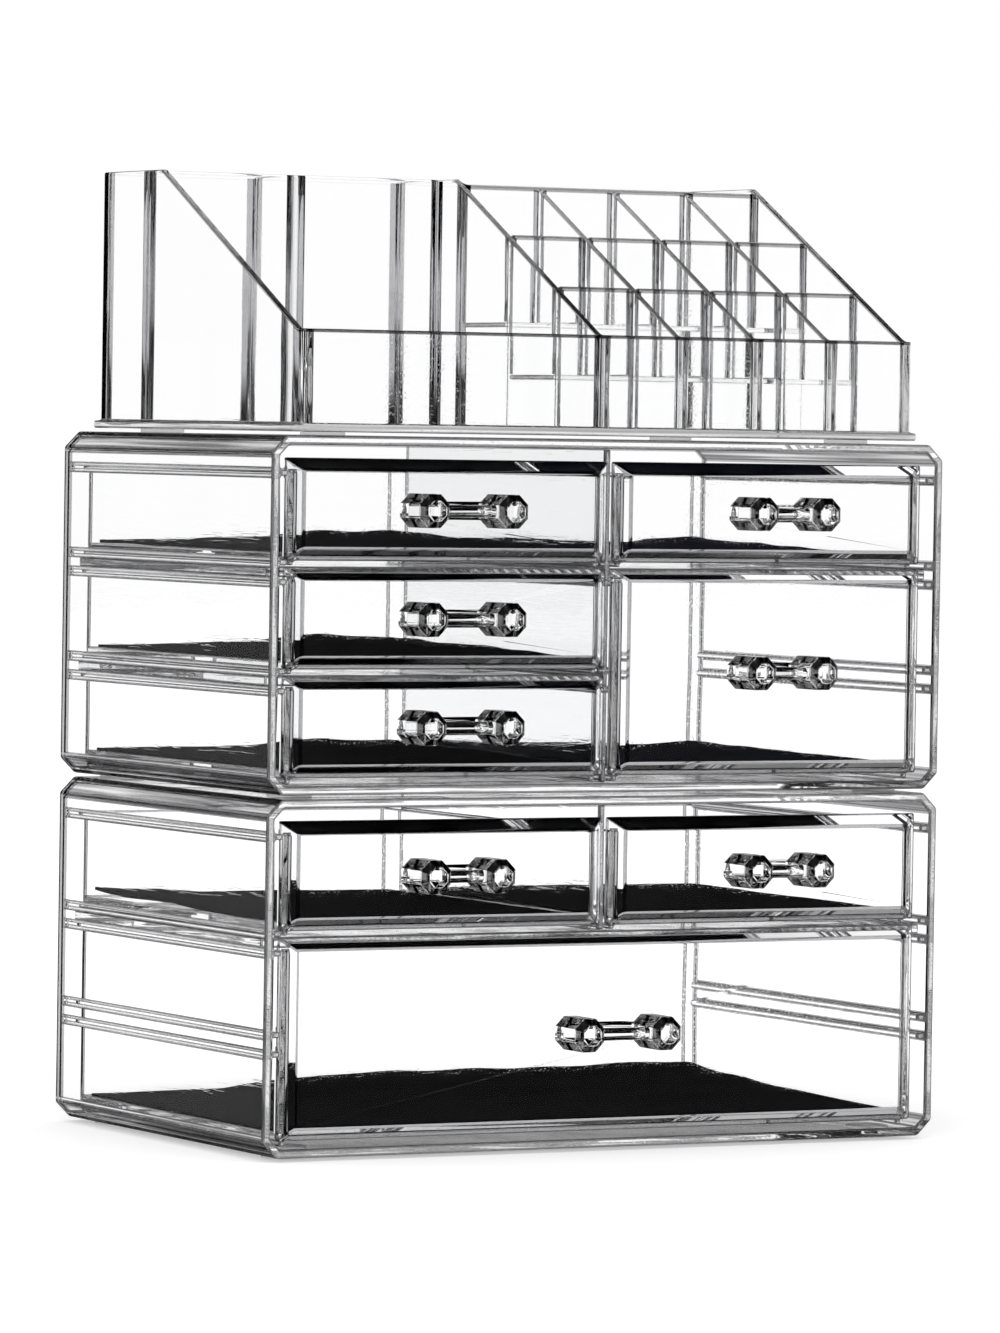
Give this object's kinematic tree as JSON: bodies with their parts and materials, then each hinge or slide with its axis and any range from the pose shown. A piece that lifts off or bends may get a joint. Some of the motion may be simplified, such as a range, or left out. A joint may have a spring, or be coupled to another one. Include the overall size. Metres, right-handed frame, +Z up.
{
  "type": "acrylic makeup organizer drawers",
  "caption": "Clear stacking cosmetics organizer: drawer cases with bevelled fronts and bar handles, black pads, and a sloping lipstick tray on top.",
  "frame": {"origin": "middle of the bounding box, on the surface that the feet stand on", "axes": "+X to the right, +Y to the back, +Z up; the drawers open towards -Y"},
  "size_m": [0.24, 0.1636, 0.3052],
  "materials": {
    "clear_case": "clear, polished",
    "clear_drawer": "clear, polished",
    "clear_handle": "clear, faceted and polished",
    "clear_tray": "clear, polished",
    "liner_mesh": "matt black mesh cloth",
    "clear_foot": "soft, translucent"
  },
  "bodies": {
    "lower_case": {"lower_case_shell": "clear_case", "lower_case_back": "clear_case", "lower_case_shelf": "clear_case", "lower_case_divider": "clear_case", "lower_case_feet": "clear_foot"},
    "upper_case": {"upper_case_shell": "clear_case", "upper_case_back": "clear_case", "upper_case_divider": "clear_case", "upper_left_high_shelf": "clear_case", "upper_left_low_shelf": "clear_case", "upper_right_shelf": "clear_case", "upper_case_feet": "clear_foot"},
    "tray": {"tray_shell": "clear_tray", "tray_centre_wall": "clear_tray", "tray_rear_wall": "clear_tray", "tray_rear_partition": "clear_tray", "tray_feet": "clear_foot", "slot_row_wall_1": "clear_tray", "slot_row_wall_2": "clear_tray", "slot_row_wall_3": "clear_tray", "slot_step_1": "clear_tray", "slot_step_2": "clear_tray", "slot_column_wall_1": "clear_tray", "slot_column_wall_2": "clear_tray", "slot_column_wall_3": "clear_tray"},
    "upper_left_top": {"upper_left_top_drawer": "clear_drawer", "upper_left_top_handle": "clear_handle", "upper_left_top_liner": "liner_mesh"},
    "upper_left_middle": {"upper_left_middle_drawer": "clear_drawer", "upper_left_middle_handle": "clear_handle", "upper_left_middle_liner": "liner_mesh"},
    "upper_left_bottom": {"upper_left_bottom_drawer": "clear_drawer", "upper_left_bottom_handle": "clear_handle", "upper_left_bottom_liner": "liner_mesh"},
    "upper_right_top": {"upper_right_top_drawer": "clear_drawer", "upper_right_top_handle": "clear_handle", "upper_right_top_liner": "liner_mesh"},
    "upper_right_deep": {"upper_right_deep_drawer": "clear_drawer", "upper_right_deep_handle": "clear_handle", "upper_right_deep_liner": "liner_mesh"},
    "lower_left": {"lower_left_drawer": "clear_drawer", "lower_left_handle": "clear_handle", "lower_left_liner": "liner_mesh"},
    "lower_right": {"lower_right_drawer": "clear_drawer", "lower_right_handle": "clear_handle", "lower_right_liner": "liner_mesh"},
    "wide": {"wide_drawer": "clear_drawer", "wide_handle": "clear_handle", "wide_liner": "liner_mesh"}
  },
  "joints": [
    {"name": "upper_case_lift", "type": "slide", "parent": "lower_case", "child": "upper_case", "axis": [0, 0, 1], "range_m": [0, 0.06]},
    {"name": "tray_lift", "type": "slide", "parent": "upper_case", "child": "tray", "axis": [0, 0, 1], "range_m": [0, 0.06]},
    {"name": "upper_left_top_slide", "type": "slide", "parent": "upper_case", "child": "upper_left_top", "axis": [0, -1, 0], "range_m": [0, 0.1]},
    {"name": "upper_left_middle_slide", "type": "slide", "parent": "upper_case", "child": "upper_left_middle", "axis": [0, -1, 0], "range_m": [0, 0.1]},
    {"name": "upper_left_bottom_slide", "type": "slide", "parent": "upper_case", "child": "upper_left_bottom", "axis": [0, -1, 0], "range_m": [0, 0.1]},
    {"name": "upper_right_top_slide", "type": "slide", "parent": "upper_case", "child": "upper_right_top", "axis": [0, -1, 0], "range_m": [0, 0.1]},
    {"name": "upper_right_deep_slide", "type": "slide", "parent": "upper_case", "child": "upper_right_deep", "axis": [0, -1, 0], "range_m": [0, 0.1]},
    {"name": "lower_left_slide", "type": "slide", "parent": "lower_case", "child": "lower_left", "axis": [0, -1, 0], "range_m": [0, 0.1]},
    {"name": "lower_right_slide", "type": "slide", "parent": "lower_case", "child": "lower_right", "axis": [0, -1, 0], "range_m": [0, 0.1]},
    {"name": "wide_slide", "type": "slide", "parent": "lower_case", "child": "wide", "axis": [0, -1, 0], "range_m": [0, 0.1]}
  ]
}
